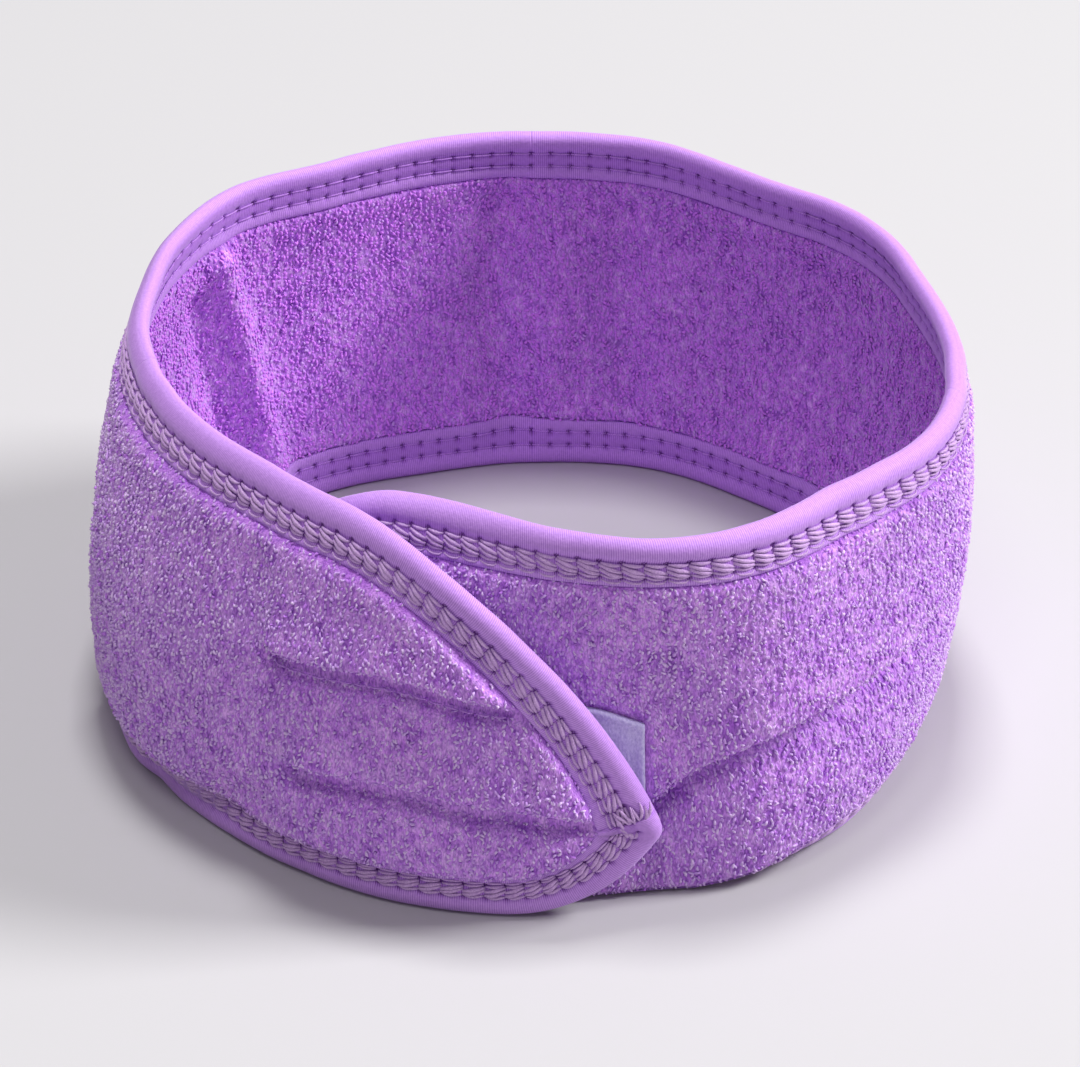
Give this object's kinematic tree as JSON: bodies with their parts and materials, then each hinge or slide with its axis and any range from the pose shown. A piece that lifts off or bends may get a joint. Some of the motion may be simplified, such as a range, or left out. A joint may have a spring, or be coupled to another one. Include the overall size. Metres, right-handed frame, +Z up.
{
  "type": "spa headband",
  "caption": "Closed ring of plush terry with folded knit binding and an overlapping hook-and-loop flap, worn to hold hair off the face.",
  "frame": {"origin": "centre of the closed ring's footprint, on the surface that its lower edge stands on", "axes": "+Z up through the ring, -Y to the front, where the flap closes over the under end, +X to the wearer's left"},
  "size_m": [0.1844, 0.1854, 0.084],
  "materials": {
    "terry": "plush purple terry pile, matt with a soft sheen",
    "binding": "fine-ribbed lilac knit tape, matt",
    "thread": "spun polyester sewing thread",
    "hook_tape": "woven nylon hook tape, slightly glossy hooks",
    "loop_tape": "brushed pale lavender loop tape"
  },
  "bodies": {
    "under_end": {"terry_under_end": "terry", "binding_under_end": "binding", "coverstitch_under_end": "thread", "needle_thread_under_end": "thread", "loop_tape": "loop_tape", "loop_tape_stitching": "thread"},
    "right_side": {"terry_right": "terry", "binding_top_right": "binding", "coverstitch_top_right": "thread", "needle_thread_top_right": "thread", "binding_bottom_right": "binding", "coverstitch_bottom_right": "thread", "needle_thread_bottom_right": "thread"},
    "back": {"terry_back": "terry", "binding_top_back": "binding", "coverstitch_top_back": "thread", "needle_thread_top_back": "thread", "binding_bottom_back": "binding", "coverstitch_bottom_back": "thread", "needle_thread_bottom_back": "thread"},
    "left_side": {"terry_left": "terry", "binding_top_left": "binding", "coverstitch_top_left": "thread", "needle_thread_top_left": "thread", "binding_bottom_left": "binding", "coverstitch_bottom_left": "thread", "needle_thread_bottom_left": "thread"},
    "flap": {"terry_flap": "terry", "binding_top_flap": "binding", "coverstitch_top_flap": "thread", "needle_thread_top_flap": "thread", "binding_bottom_flap": "binding", "coverstitch_bottom_flap": "thread", "needle_thread_bottom_flap": "thread", "hook_tape": "hook_tape", "hook_tape_stitching": "thread", "tip_tack": "thread"}
  },
  "joints": [
    {"name": "left_spread", "type": "hinge", "parent": "back", "child": "left_side", "pos_m": [-0.08179, 0.04798, 0.042], "axis": [0, 0, -1], "range_deg": [0, 45]},
    {"name": "flap_peel", "type": "hinge", "parent": "left_side", "child": "flap", "pos_m": [-0.06421, -0.06581, 0.042], "axis": [0, 0, -1], "range_deg": [0, 95]},
    {"name": "right_spread", "type": "hinge", "parent": "back", "child": "right_side", "pos_m": [0.08016, 0.04698, 0.042], "axis": [0, 0, 1], "range_deg": [0, 27]},
    {"name": "under_end_flex", "type": "hinge", "parent": "right_side", "child": "under_end", "pos_m": [0.04255, -0.07288, 0.042], "axis": [0, 0, -1], "range_deg": [0, 25]}
  ],
  "couplings": [
    {"joint": "right_spread", "follows": "left_spread", "ratio": 0.6}
  ]
}
